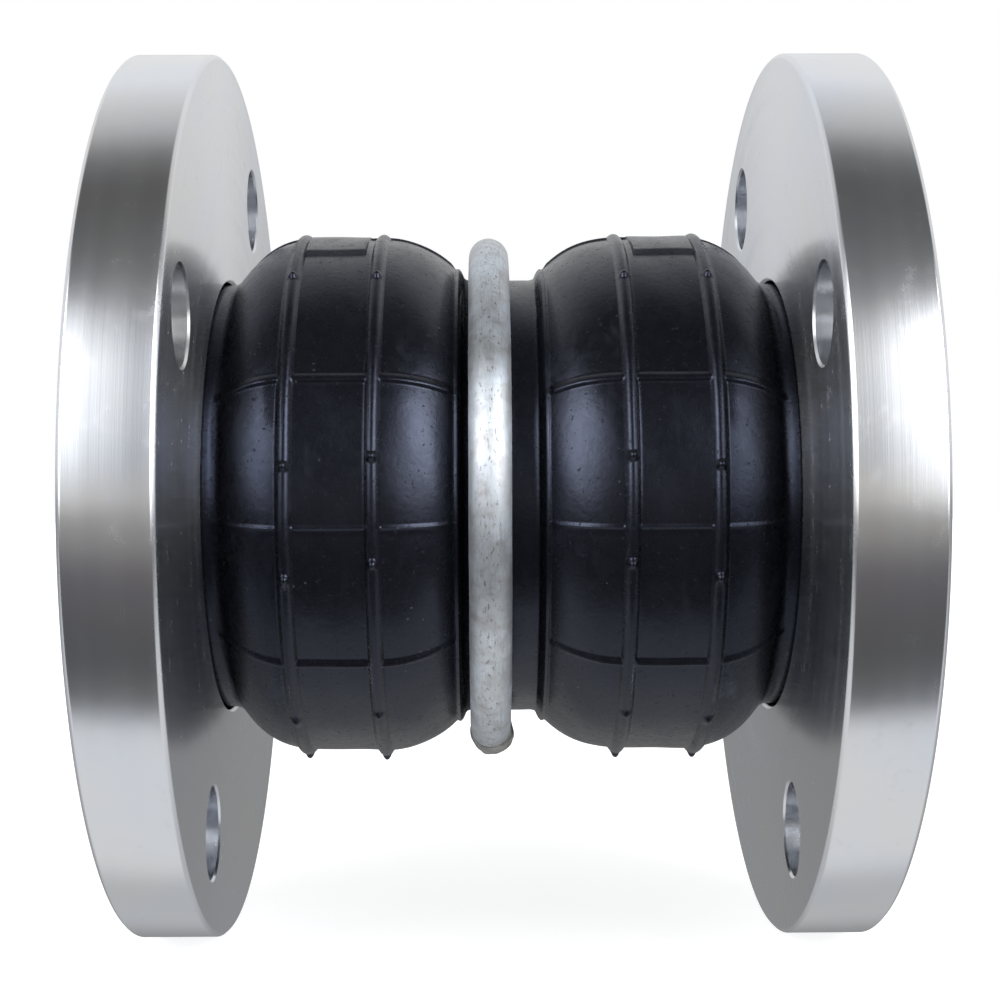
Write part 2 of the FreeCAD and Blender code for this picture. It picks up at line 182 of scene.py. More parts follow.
def half_wall(depth, step):
    """Half of the mould line moved inwards by depth, from the mid-plane to the end of the collar's neck."""
    def steps(length):
        return max(2, round(length / step))

    centres = []
    feet = []
    for side, end_radius in ((0, WAIST_RADIUS), (1, NECK_RADIUS)):
        slope = math.radians(SLOPE_DEG[side])
        both = SHOULDER_RADIUS[side] + FILLET_RADIUS[side]
        drop = CROWN_RADIUS - end_radius - both * (1 - math.cos(slope))
        reach = both * math.sin(slope) + drop / math.tan(slope)
        foot = CROWN_START - reach if side == 0 else CROWN_END + reach
        crown_x = CROWN_START if side == 0 else CROWN_END
        centres.append((crown_x, CROWN_RADIUS - SHOULDER_RADIUS[side]))
        feet.append((foot, end_radius + FILLET_RADIUS[side]))

    points = line_points((0, WAIST_RADIUS - depth), (feet[0][0], WAIST_RADIUS - depth), steps(feet[0][0]))
    points += arc_points(feet[0], FILLET_RADIUS[0] + depth, -90, -90 + SLOPE_DEG[0], steps(3))
    ramp_end = polar(centres[0], SHOULDER_RADIUS[0] - depth, 90 + SLOPE_DEG[0])
    points += line_points(polar(feet[0], FILLET_RADIUS[0] + depth, -90 + SLOPE_DEG[0]), ramp_end, 2)
    points += arc_points(centres[0], SHOULDER_RADIUS[0] - depth, 90 + SLOPE_DEG[0], 90, steps(16))
    crown = CROWN_RADIUS - depth
    points += line_points((CROWN_START, crown), (CROWN_MIDDLE, crown), steps(CROWN_MIDDLE - CROWN_START))
    points += line_points((CROWN_MIDDLE, crown), (CROWN_END, crown), steps(CROWN_END - CROWN_MIDDLE))
    points += arc_points(centres[1], SHOULDER_RADIUS[1] - depth, 90, 90 - SLOPE_DEG[1], steps(15))
    ramp_start = polar(centres[1], SHOULDER_RADIUS[1] - depth, 90 - SLOPE_DEG[1])
    ramp_foot = polar(feet[1], FILLET_RADIUS[1] + depth, -90 - SLOPE_DEG[1])
    points += line_points(ramp_start, ramp_foot, 3)
    points += arc_points(feet[1], FILLET_RADIUS[1] + depth, -90 - SLOPE_DEG[1], -90, steps(4))
    neck = NECK_RADIUS - depth
    points += line_points((feet[1][0], neck), (COLLAR_START, neck), 3) + [(COLLAR_START, neck)]
    return points


def even_angles(count):
    return [math.tau * i / count for i in range(count)]


def ring_mesh(name, outline, angles, sign=1.0, shift=None):
    """A closed outline of (x, r) points in millimetres, turned about the pipe axis.
    Angle 0 is the -Y side and 90 degrees is the top. shift moves each point out of its surface."""
    loop = np.array(outline, float)
    theta = np.array(angles, float)
    x = np.repeat(loop[:, 0][None, :], len(theta), 0)
    r = np.repeat(loop[:, 1][None, :], len(theta), 0)
    t = np.repeat(theta[:, None], len(loop), 1)
    if shift is not None:
        dx, dr = shift(x, r, t)
        x, r = x + dx, r + dr
    co = np.stack([sign * x, -r * np.cos(t), r * np.sin(t)], -1).reshape(-1, 3) * MM
    rows, columns = x.shape
    i, j = np.meshgrid(np.arange(rows), np.arange(columns), indexing="ij")
    i2, j2 = (i + 1) % rows, (j + 1) % columns
    corners = [i * columns + j, i2 * columns + j, i2 * columns + j2, i * columns + j2]
    quads = np.stack(corners, -1).reshape(-1, 4)
    mesh = bpy.data.meshes.new(name)
    mesh.from_pydata(co.tolist(), [], quads.tolist())
    obj = bpy.data.objects.new(name, mesh)
    bpy.context.scene.collection.objects.link(obj)
    finish_mesh(obj)
    return obj


def tube_mesh(name, rings):
    """A solid skinned over rings of (x, y, z) points in millimetres, closed at both ends."""
    bm = bmesh.new()
    loops = [[bm.verts.new((x * MM, y * MM, z * MM)) for x, y, z in ring] for ring in rings]
    for low, high in zip(loops, loops[1:]):
        for j in range(len(low)):
            k = (j + 1) % len(low)
            bm.faces.new((low[j], low[k], high[k], high[j]))
    bm.faces.new(loops[0])
    bm.faces.new(loops[-1])
    mesh = bpy.data.meshes.new(name)
    bm.to_mesh(mesh)
    bm.free()
    obj = bpy.data.objects.new(name, mesh)
    bpy.context.scene.collection.objects.link(obj)
    finish_mesh(obj)
    return obj


def finish_mesh(obj, sharp_deg=38.0):
    """Outward normals, smooth faces, and sharp edges where the surface turns a corner."""
    bm = bmesh.new()
    bm.from_mesh(obj.data)
    bmesh.ops.recalc_face_normals(bm, faces=bm.faces)
    bm.to_mesh(obj.data)
    bm.free()
    obj.data.polygons.foreach_set("use_smooth", [True] * len(obj.data.polygons))
    obj.data.set_sharp_from_angle(angle=math.radians(sharp_deg))
    obj.data.update()


def cut(obj, cutters):
    """Cut solids out of a piece, for good."""
    for cutter in cutters:
        modifier = obj.modifiers.new("cut", "BOOLEAN")
        modifier.operation = "DIFFERENCE"
        modifier.solver = "EXACT"
        modifier.object = cutter
    depsgraph = bpy.context.evaluated_depsgraph_get()
    mesh = bpy.data.meshes.new_from_object(obj.evaluated_get(depsgraph))
    obj.modifiers.clear()
    obj.data = mesh
    mesh.name = obj.name
    for cutter in cutters:
        bpy.data.objects.remove(cutter)
    finish_mesh(obj, 30.0)


def rounded(points, sizes, count):
    """A closed outline whose corners are rounded, each by its own size in millimetres."""
    result = []
    total = len(points)
    for i, here in enumerate(points):
        before, after = Vector(points[i - 1]), Vector(points[(i + 1) % total])
        corner = Vector(here)
        size = sizes[i]
        if size <= 0:
            result.append(here)
            continue
        a, b = (before - corner).normalized(), (after - corner).normalized()
        for step in range(count + 1):
            t = step / count
            p = corner + a * size * (1 - t) ** 2 + b * size * t ** 2
            result.append((p.x, p.y))
    return result


# ---------------------------------------------------------------- node helpers

def add(tree, kind, inputs=None, **settings):
    """A shader node with its settings, and each input set to a value or linked to a socket."""
    node = tree.nodes.new(kind)
    for key, value in settings.items():
        setattr(node, key, value)
    for key, value in (inputs or {}).items():
        if isinstance(value, bpy.types.NodeSocket):
            tree.links.new(value, node.inputs[key])
        else:
            node.inputs[key].default_value = value
    return node


def maths(tree, operation, a, b=0.0):
    return add(tree, "ShaderNodeMath", {0: a, 1: b}, operation=operation).outputs[0]


def times_plus(tree, value, factor, offset):
    node = maths(tree, "MULTIPLY_ADD", value, factor).node
    node.inputs[2].default_value = offset
    return node.outputs[0]


def ramp(tree, factor, stops):
    """A colour ramp; stops are (position, grey or colour)."""
    node = add(tree, "ShaderNodeValToRGB", {"Fac": factor})
    elements = node.color_ramp.elements
    while len(elements) < len(stops):
        elements.new(0.5)
    for element, (position, value) in zip(elements, stops):
        element.position = position
        element.color = (*((value,) * 3 if isinstance(value, float) else value), 1.0)
    return node.outputs["Color"]


def mix(tree, factor, a, b, blend="MIX"):
    node = add(tree, "ShaderNodeMix", {0: factor}, data_type="RGBA", blend_type=blend)
    for socket, value in ((node.inputs[6], a), (node.inputs[7], b)):
        if isinstance(value, bpy.types.NodeSocket):
            tree.links.new(value, socket)
        else:
            socket.default_value = (*value, 1.0)
    return node.outputs[2]


def noise_at(tree, vector, scale, detail=2.0, roughness=0.5, distortion=0.0):
    node = add(tree, "ShaderNodeTexNoise", {"Vector": vector, "Scale": scale, "Detail": detail,
                                            "Roughness": roughness, "Distortion": distortion})
    return node.outputs["Fac"]


def bump(tree, height, distance, strength=1.0, normal=None):
    inputs = {"Height": height, "Distance": distance, "Strength": strength}
    if normal is not None:
        inputs["Normal"] = normal
    return add(tree, "ShaderNodeBump", inputs).outputs["Normal"]


def object_axes(tree):
    """Object position in metres, its x, its distance from the pipe axis and its angle round it."""
    position = add(tree, "ShaderNodeTexCoord").outputs["Object"]
    split = add(tree, "ShaderNodeSeparateXYZ", {0: position})
    flat = add(tree, "ShaderNodeCombineXYZ", {0: 0.0, 1: split.outputs[1], 2: split.outputs[2]})
    radius = add(tree, "ShaderNodeVectorMath", {0: flat.outputs[0]}, operation="LENGTH").outputs["Value"]
    angle = maths(tree, "ARCTAN2", split.outputs[2], maths(tree, "MULTIPLY", split.outputs[1], -1.0))
    return position, split.outputs[0], radius, angle


def new_material(name):
    material = bpy.data.materials.new(name)
    material.use_nodes = True
    tree = material.node_tree
    shader = tree.nodes["Principled BSDF"]
    return material, tree, shader


# ---------------------------------------------------------------- materials

def rubber_material(name, tone, roughness, grain, dust, gloss=0.5):
    """Moulded black rubber: fine grain, pores, mottled gloss, a few scuffs and dust specks."""
    material, tree, shader = new_material(name)
    position = object_axes(tree)[0]
    cloud = noise_at(tree, position, 38.0, 4.0, 0.6)
    mottle = noise_at(tree, position, 420.0, 4.0, 0.65, 0.3)
    pore = maths(tree, "GREATER_THAN", noise_at(tree, position, 1150.0, 1.0, 0.5), 0.71)
    scuff_space = add(tree, "ShaderNodeMapping", {"Vector": position, "Scale": (160.0, 160.0, 40.0),
                                                  "Rotation": (0.4, 0.3, 0.2)}).outputs[0]
    scuff = noise_at(tree, scuff_space, 1.0, 5.0, 0.75, 0.6)
    speck = add(tree, "ShaderNodeTexVoronoi", {"Vector": position, "Scale": 520.0}).outputs["Distance"]
    speck_mask = maths(tree, "MULTIPLY", maths(tree, "LESS_THAN", speck, 0.13),
                       maths(tree, "GREATER_THAN", noise_at(tree, position, 95.0, 2.0), 0.62))
    dark = tuple(channel * 0.62 for channel in tone)
    base = mix(tree, ramp(tree, cloud, [(0.36, 0.0), (0.66, 1.0)]), dark, tone)
    scuffed = mix(tree, ramp(tree, scuff, [(0.62, 0.0), (0.78, dust)]), base,
                  tuple(channel * 3.2 + 0.010 for channel in tone))
    dusted = mix(tree, maths(tree, "MULTIPLY", speck_mask, dust), scuffed, (0.10, 0.10, 0.10))
    tree.links.new(dusted, shader.inputs["Base Color"])
    uneven = times_plus(tree, mottle, 0.22, roughness - 0.11)
    worn = maths(tree, "ADD", uneven, ramp(tree, scuff, [(0.54, 0.0), (0.76, 0.16)]))
    rough = maths(tree, "ADD", worn, maths(tree, "MULTIPLY", pore, 0.28))
    tree.links.new(rough, shader.inputs["Roughness"])
    shader.inputs["Specular IOR Level"].default_value = gloss
    shader.inputs["Specular Tint"].default_value = (0.62, 0.70, 1.0, 1.0)
    fine = noise_at(tree, position, 1000.0, 3.0, 0.6)
    first = bump(tree, fine, 0.00005, grain)
    second = bump(tree, mottle, 0.00010, 0.55, first)
    pitted = bump(tree, maths(tree, "MULTIPLY", pore, -1.0), 0.00010, 0.8, second)
    tree.links.new(pitted, shader.inputs["Normal"])
    return material


def stretch_along_x(tree, shader, amount):
    """Highlights drawn out along the pipe axis, as turning and drawing leave them."""
    shader.inputs["Anisotropic"].default_value = amount
    shader.inputs["Anisotropic Rotation"].default_value = 0.25
    tangent = add(tree, "ShaderNodeTangent", direction_type="RADIAL", axis="X").outputs[0]
    tree.links.new(tangent, shader.inputs["Tangent"])


def turned_metal(name, colour, tint, roughness, line_strength, blotch):
    """Turned and plated steel: circular tool lines, faint tint bands and handling marks."""
    material, tree, shader = new_material(name)
    position, x, radius, _ = object_axes(tree)
    section = add(tree, "ShaderNodeCombineXYZ", {0: x, 1: radius, 2: 0.0}).outputs[0]
    lines = noise_at(tree, section, 2600.0, 3.0, 0.7)
    wide = noise_at(tree, section, 260.0, 2.0, 0.5)
    cloud = noise_at(tree, position, 24.0, 4.0, 0.6)
    marks = noise_at(tree, position, 210.0, 5.0, 0.7, 0.4)
    base = mix(tree, ramp(tree, cloud, [(0.35, 0.0), (0.70, 1.0)]), colour, tint)
    base = mix(tree, ramp(tree, marks, [(0.60, 0.0), (0.78, blotch)]), base, tuple(c * 0.62 for c in colour))
    tree.links.new(base, shader.inputs["Base Color"])
    shader.inputs["Metallic"].default_value = 1.0
    spread = times_plus(tree, wide, 0.12, roughness - 0.06)
    rough = maths(tree, "ADD", spread, ramp(tree, marks, [(0.55, 0.0), (0.80, 0.07)]))
    tree.links.new(rough, shader.inputs["Roughness"])
    stretch_along_x(tree, shader, 0.75)
    first = bump(tree, lines, 0.00002, line_strength)
    second = bump(tree, wide, 0.00012, 0.25, first)
    tree.links.new(bump(tree, cloud, 0.0006, 0.10, second), shader.inputs["Normal"])
    return material


def drawn_space(tree, x, radius, angle, stretch):
    """Noise space of a ring's rod, where marks come out longer along the rod the smaller stretch is."""
    around = maths(tree, "MULTIPLY", angle, stretch)
    return add(tree, "ShaderNodeCombineXYZ", {0: x, 1: radius, 2: around}).outputs[0]


def galvanised(name, light, dark, roughness):
    """Hot-dip galvanised rod: soft patches, draw marks along the rod, spangle and dark specks on its crest."""
    material, tree, shader = new_material(name)
    position, x, radius, angle = object_axes(tree)
    cells = add(tree, "ShaderNodeTexVoronoi", {"Vector": position, "Scale": 330.0, "Randomness": 1.0})
    cell_tone = add(tree, "ShaderNodeSeparateColor", {0: cells.outputs["Color"]}).outputs[0]
    streak = noise_at(tree, drawn_space(tree, x, radius, angle, 0.006), 2100.0, 3.0, 0.6)
    cloud = noise_at(tree, position, 85.0, 5.0, 0.65, 0.5)
    patch = mix(tree, ramp(tree, cloud, [(0.38, 0.0), (0.64, 1.0)]), dark, light)
    tone = mix(tree, maths(tree, "MULTIPLY", cell_tone, 0.30), patch, tuple(min(1.0, c * 1.25) for c in light))
    tone = mix(tree, ramp(tree, streak, [(0.50, 0.0), (0.72, 0.55)]), tone, tuple(c * 0.55 for c in light))
    crest = add(tree, "ShaderNodeMapRange", {"Value": radius, "From Min": 0.0552, "From Max": 0.0564})
    drawn = noise_at(tree, drawn_space(tree, x, radius, angle, 0.022), 2000.0, 2.0, 0.5)
    speck = maths(tree, "MULTIPLY", ramp(tree, drawn, [(0.60, 0.0), (0.68, 1.0)]), crest.outputs[0])
    tone = mix(tree, maths(tree, "MULTIPLY", speck, 0.75), tone, (0.15, 0.14, 0.15))
    stain = ramp(tree, noise_at(tree, position, 260.0, 3.0, 0.6, 0.6), [(0.50, 0.0), (0.70, 0.6)])
    tone = mix(tree, stain, tone, (0.30, 0.27, 0.28))
    tree.links.new(tone, shader.inputs["Base Color"])
    shader.inputs["Metallic"].default_value = 0.85
    tree.links.new(times_plus(tree, cloud, 0.30, roughness - 0.15), shader.inputs["Roughness"])
    stretch_along_x(tree, shader, 0.7)
    first = bump(tree, streak, 0.00006, 0.6)
    tree.links.new(bump(tree, cloud, 0.0003, 0.5, first), shader.inputs["Normal"])
    return material


def cord_material(name, slope, colour):
    """Tyre cord: parallel twisted cords at a bias angle, under a thin coat of adhesive. Their grooves are
    darkened as painted shade.
    """
    material, tree, shader = new_material(name)
    position, x, _, angle = object_axes(tree)
    along = maths(tree, "MULTIPLY", angle, 0.052)
    across = maths(tree, "ADD", along, maths(tree, "MULTIPLY", x, slope))
    wave = maths(tree, "SINE", maths(tree, "MULTIPLY", across, math.tau / 0.0011))
    twist = maths(tree, "SINE", maths(tree, "MULTIPLY", maths(tree, "SUBTRACT", along, x), math.tau / 0.0016))
    height = maths(tree, "ADD", maths(tree, "MULTIPLY", wave, 0.5), maths(tree, "MULTIPLY", twist, 0.12))
    # Painted shade: the colour darkens towards the low parts of the cords, between them and along their twist.
    dark = tuple(c * 0.35 for c in colour)
    tone_with_painted_shade = ramp(tree, maths(tree, "MULTIPLY_ADD", height, 0.5), [(0.0, dark), (1.0, colour)])
    stain = ramp(tree, noise_at(tree, position, 60.0, 4.0), [(0.35, 0.75), (0.70, 1.0)])
    tree.links.new(mix(tree, 1.0, tone_with_painted_shade, stain, "MULTIPLY"), shader.inputs["Base Color"])
    shader.inputs["Roughness"].default_value = 0.75
    tree.links.new(bump(tree, height, 0.0003, 0.8), shader.inputs["Normal"])
    return material


def woven_material(name, colour):
    """Square-woven rubberised fabric for the bead wrap, with painted shade in the hollows of the weave."""
    material, tree, shader = new_material(name)
    position, x, radius, angle = object_axes(tree)
    across = maths(tree, "SINE", maths(tree, "MULTIPLY", maths(tree, "ADD", x, radius), math.tau / 0.0009))
    along = maths(tree, "SINE", maths(tree, "MULTIPLY", angle, 360.0))
    weave = maths(tree, "MULTIPLY", across, along)
    # Painted shade: the colour darkens where the weave's height is low.
    dark = tuple(c * 0.4 for c in colour)
    tone_with_painted_shade = ramp(tree, maths(tree, "MULTIPLY_ADD", weave, 0.5), [(0.0, dark), (1.0, colour)])
    stain = ramp(tree, noise_at(tree, position, 80.0, 4.0), [(0.35, 0.7), (0.70, 1.0)])
    tree.links.new(mix(tree, 1.0, tone_with_painted_shade, stain, "MULTIPLY"), shader.inputs["Base Color"])
    shader.inputs["Roughness"].default_value = 0.85
    tree.links.new(bump(tree, weave, 0.0002, 0.7), shader.inputs["Normal"])
    return material


def make_materials():
    return {
        "cover": rubber_material("black_rubber", (0.0034, 0.0034, 0.0046), 0.27, 0.5, 0.30, 0.45),
        "collar": rubber_material("collar_rubber", (0.017, 0.017, 0.018), 0.52, 0.6, 0.30, 0.4),
        "liner": rubber_material("liner_rubber", (0.020, 0.020, 0.021), 0.58, 0.4, 0.35, 0.35),
        "filler": rubber_material("bead_rubber", (0.022, 0.021, 0.020), 0.70, 0.8, 0.10, 0.3),
        "zinc": turned_metal("zinc_plate", (0.655, 0.69, 0.755), (0.70, 0.70, 0.70), 0.24, 0.55, 0.18),
        "rod": galvanised("galvanised_rod", (0.54, 0.59, 0.65), (0.42, 0.44, 0.45), 0.47),
        "weld": galvanised("weld_metal", (0.36, 0.37, 0.35), (0.12, 0.12, 0.11), 0.58),
        "wire": turned_metal("bead_wire", (0.62, 0.50, 0.30), (0.55, 0.46, 0.34), 0.35, 0.3, 0.15),
        "wrap": woven_material("wrap_fabric", (0.20, 0.17, 0.13)),
    }


# ---------------------------------------------------------------- rubber wall

def bell(distance, half_width, sharpness=1.25):
    """1 at the middle, 0 at half_width and beyond; a higher sharpness narrows the crest."""
    return np.clip(1 - (distance / half_width) ** 2, 0, 1) ** sharpness


def step(value, low, high):
    """Smooth step from 0 at low to 1 at high."""
    t = np.clip((value - low) / (high - low), 0, 1)
    return t * t * (3 - 2 * t)


def angle_gap(theta, degrees):
    """Signed angle from a given elevation, in radians."""
    return (theta - math.radians(degrees) + math.pi) % math.tau - math.pi


def pad_mask(distance, theta):
    """1 on the raised pad on top of each sphere, 0 elsewhere."""
    across = step(distance, PAD_X[0] - PAD_EDGE, PAD_X[0]) * (1 - step(distance, PAD_X[1], PAD_X[1] + PAD_EDGE))
    arc_gap = np.abs(angle_gap(theta, PAD_CENTRE_DEG)) * CROWN_RADIUS
    reach = math.radians(PAD_HALF_DEG) * CROWN_RADIUS
    return across * (1 - step(arc_gap, reach, reach + PAD_EDGE))


def band_height(distance, r, theta):
    """Each sphere has three bands of two flat panels. A bead with one steep side runs along each edge of a
    band, and a thin line of flash beside a faint groove runs along its middle."""
    height = np.zeros_like(r)
    half = math.radians(BAND_HALF_DEG)
    for degrees in BAND_CENTRES_DEG:
        gap = angle_gap(theta, degrees)
        across = np.clip(2 * np.abs(gap) / half - 1, -1, 1)
        height = height + np.where(np.abs(gap) < half, across ** 2 - 1, 0.0) * FACET_DEPTH
        for edge in (-half, half):
            along = (gap - edge) * r
            height = height + bell(along, np.where(along > 0, EDGE_SOFT_SIDE, EDGE_SHARP_SIDE)) * EDGE_HEIGHT
        height = height + bell(gap * r, FLASH_HALF_WIDTH) * FLASH_HEIGHT
        height = height - bell(gap * r + 2 * FLASH_HALF_WIDTH, FLASH_HALF_WIDTH) * FLASH_HEIGHT
    ends = step(distance, *BAND_STARTS) * (1 - step(distance, *BAND_ENDS))
    return height * ends


def raised_features(distance, r, theta):
    """Panels, hoops, waist lips, pads and vent pips, as a height over the plain mould line."""
    pad = pad_mask(distance, theta)
    height = band_height(distance, r, theta) * (1 - pad) + pad * PAD_HEIGHT
    for centre in HOOP_CENTRES:
        height = np.maximum(height, bell(distance - centre, HOOP_HALF_WIDTH, 0.8) * HOOP_HEIGHT)
    height = height + bell(distance - GROOVE_EDGE, LIP_HALF_WIDTH) * LIP_HEIGHT
    for number, degrees in enumerate(PIP_ANGLES_DEG):
        for hoop, centre in enumerate(HOOP_CENTRES):
            lean = 1.5 * math.sin(7.0 * number + 3.0 * hoop)
            away = np.hypot(distance - centre, angle_gap(theta, degrees + lean) * CROWN_RADIUS)
            height = height + bell(away, PIP_RADIUS, 0.7) * PIP_HEIGHT
    return height


def waviness(x, theta, seed):
    """Slow unevenness of a hand-laid moulding, within a tenth or two of a millimetre."""
    wave = 0.10 * np.sin(3 * theta + x * 0.09 + seed) + 0.07 * np.sin(7 * theta - x * 0.21 + 2.1 * seed)
    return wave + 0.05 * np.sin(13 * theta + x * 0.5 + 0.7 * seed)


def cover_shift(outer_count, sign):
    """How far each point of the cover's outline moves: only the outer skin carries the moulded shape."""
    def shift(x, r, theta):
        is_outer = np.zeros_like(x)
        is_outer[:, :outer_count] = 1.0
        distance = np.abs(x)
        height = raised_features(distance, r, theta) + waviness(x * sign, theta, 0.4)
        fade = 1 - step(distance, *COVER_FADES)
        return np.zeros_like(x), height * is_outer * fade
    return shift


def cover_angles(fine):
    """Angles round the cover, closer together across each bead, line of flash and pip.
    Each detail is an elevation and how far to each side of it, in millimetres, the angles are close."""
    details = [(degrees, 2.8) for degrees in PIP_ANGLES_DEG]
    for centre in BAND_CENTRES_DEG:
        details += [(centre - BAND_HALF_DEG, 3.0), (centre, 1.0), (centre + BAND_HALF_DEG, 3.0)]
    close, wide = (0.28, 1.2) if fine else (0.5, 2.6)
    angles = []
    angle = 0.0
    while angle < math.tau - 0.5 * close / CROWN_RADIUS:
        angles.append(angle)
        near = any(abs(angle_gap(angle, degrees)) * CROWN_RADIUS < reach for degrees, reach in details)
        angle += (close if near else wide) / CROWN_RADIUS
    return angles


def flare(depth, step_size):
    """A ply's surface on past the neck: up round its turn and along behind the sealing face."""
    radius = FLARE_CENTRE[1] - (NECK_RADIUS - depth)
    points = arc_points(FLARE_CENTRE, radius, -90, 0, max(3, round(radius / step_size)))
    foot = (FLARE_CENTRE[0] + radius, FLARE_CENTRE[1])
    return points + line_points(foot, (foot[0], FLARE_TOP), 5) + [(foot[0], FLARE_TOP)]


def wall_strip(outer_depth, inner_depth, low, high, step_size, flared):
    """The closed outline of one piece of a layer between two distances from the middle."""
    def side(depth, size):
        points = [p for p in half_wall(depth, size) if low - 1e-6 <= p[0] <= high + 1e-6]
        if flared:
            points += flare(depth, size)
        return points
    outer = side(outer_depth, step_size)
    return outer + side(inner_depth, PLAIN_STEP)[::-1], len(outer)


def build_layer(name, node, material, outer_depth, inner_depth, moulded=False, flared=False):
    """One layer of the wall, in four pieces shaped as one."""
    moulded_step = MOULDED_STEP
    step_size = moulded_step if moulded else PLAIN_STEP
    angles = cover_angles(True) if moulded else even_angles(144)
    pieces = []
    for side, sign in SIDES:
        arch, end = side + "_arch", side + "_end"
        inner = (name + "_" + side + "_inner", 0.0, CROWN_MIDDLE, False, ("waist", arch),
                 (GROOVE_EDGE, CROWN_MIDDLE))
        outer = (name + "_" + side + "_outer", CROWN_MIDDLE, COLLAR_START, flared, (arch, end),
                 (CROWN_MIDDLE, NECK_START))
        for title, low, high, with_flare, bodies, reach in (inner, outer):
            outline, outer_count = wall_strip(outer_depth, inner_depth, low, high, step_size, with_flare)
            shift = cover_shift(outer_count, sign) if moulded else None
            piece = ring_mesh(title, outline, angles, sign, shift)
            piece.data.materials.append(material)
            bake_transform(piece)
            pieces.append(piece)
    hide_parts(node)
    return pieces


def build_wall(materials):
    wall = NECK_RADIUS - BORE_RADIUS
    build_layer("cover", "outer_cover", materials["cover"], 0.0, COVER_THICKNESS, moulded=True)
    build_layer("tube", "inner_tube", materials["liner"], wall - TUBE_THICKNESS, wall)
    for number in range(1, PLY_COUNT + 1):
        depth = COVER_THICKNESS + SKIM_GAP + (PLY_COUNT - number) * (PLY_THICKNESS + SKIM_GAP)
        slope = 1.0 if number % 2 else -1.0
        cord = cord_material("nylon_cord_" + str(number), slope, (0.42, 0.30, 0.16))
        build_layer("ply_" + str(number), "cord_ply_" + str(number), cord,
                    depth, depth + PLY_THICKNESS, flared=True)


# ---------------------------------------------------------------- ends

def collar_outline():
    """The collar's section: sealing face, rim, seat and heel, hollow for the plies and the bead."""
    seat, face, top = COLLAR_SEAT, SEALING_FACE, COLLAR_RADIUS
    ply_low, ply_high = BORE_RADIUS + TUBE_THICKNESS, NECK_RADIUS - COVER_THICKNESS
    x, y = FLARE_CENTRE
    outside = [(COLLAR_START, BORE_RADIUS), (face, BORE_RADIUS), (face, top), (seat, top),
               (seat, NECK_RADIUS), (COLLAR_START, NECK_RADIUS)]
    outside = rounded(outside, [0, 3.6, 1.1, 1.1, 3.2, 0], 7)
    inner_radius, outer_radius = y - ply_low, y - ply_high
    pocket_x, pocket_top = BEAD_POCKET
    ply_top = FLARE_TOP + SKIM_GAP
    hollow = [(COLLAR_START, ply_high), (pocket_x, ply_high), (pocket_x, pocket_top),
              (x + outer_radius, pocket_top), (x + outer_radius, ply_top), (x + inner_radius, ply_top)]
    hollow += arc_points((x, y), inner_radius, 0, -90, 8) + [(x, ply_low), (COLLAR_START, ply_low)]
    return outside + hollow


def build_collar(side, sign, materials):
    collar = ring_mesh(side + "_collar", collar_outline(), even_angles(256), sign)
    collar.data.materials.append(materials["collar"])
    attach(collar, side + "_end")
    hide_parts(side + "_sealing_collar")


def flange_outline():
    """The plate's section, with turned chamfers and a seat for the collar."""
    inner, outer, rim, edge = PLATE_INNER, PLATE_OUTER, PLATE_RADIUS, PLATE_CHAMFER
    corners = [(inner, PLATE_BORE + BORE_CHAMFER), (inner, rim - edge), (inner + edge, rim),
               (outer - edge, rim), (outer, rim - edge), (outer, RECESS_RADIUS), (RECESS_FLOOR, RECESS_RADIUS),
               (RECESS_FLOOR, PLATE_BORE), (inner + BORE_CHAMFER, PLATE_BORE)]
    return rounded(corners, [0.25, 0.25, 0.25, 0.25, 0.25, 0.3, 0.4, 2.6, 0.25], 3)


def bolt_cutter(sign, degrees):
    """The solid of one bolt hole with a chamfer at each mouth."""
    wide = BOLT_HOLE_RADIUS + BOLT_CHAMFER + 1.0
    profile = ((PLATE_INNER - 1.0, wide), (PLATE_INNER + BOLT_CHAMFER, BOLT_HOLE_RADIUS),
               (PLATE_OUTER - BOLT_CHAMFER, BOLT_HOLE_RADIUS), (PLATE_OUTER + 1.0, wide))
    y = BOLT_CIRCLE_RADIUS * -math.cos(math.radians(degrees))
    z = BOLT_CIRCLE_RADIUS * math.sin(math.radians(degrees))
    rings = []
    for x, r in profile:
        rings.append([(sign * x, y + r * math.cos(a), z + r * math.sin(a)) for a in even_angles(96)])
    return tube_mesh("bolt_cutter", rings)


def build_flange(side, sign, materials):
    plate = ring_mesh(side + "_plate", flange_outline(), even_angles(360), sign)
    cut(plate, [bolt_cutter(sign, BOLT_TURN_DEG + 90.0 * k) for k in range(4)])
    plate.data.materials.append(materials["zinc"])
    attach(plate, side + "_flange")
    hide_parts(side + "_flange")


def dress_bead(side, materials):
    """The bead keeps its CAD shape and takes detailed materials."""
    for part, key in (("bead_core", "wire"), ("bead_filler", "filler"), ("bead_wrap", "wrap")):
        paint_node(side + "_" + part, materials[key])


def paint_node(node, material):
    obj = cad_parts[node]
    for slot in obj.material_slots:
        slot.material = material


# ---------------------------------------------------------------- root ring

def ring_point(x, r, angle):
    """A point at angle round the pipe axis; 0 is the -Y side and a quarter turn is the top."""
    return x, -r * math.cos(angle), r * math.sin(angle)


def fit_on_ring(obj, material, node):
    obj.data.materials.append(material)
    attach(obj, "root_ring")
    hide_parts(node)


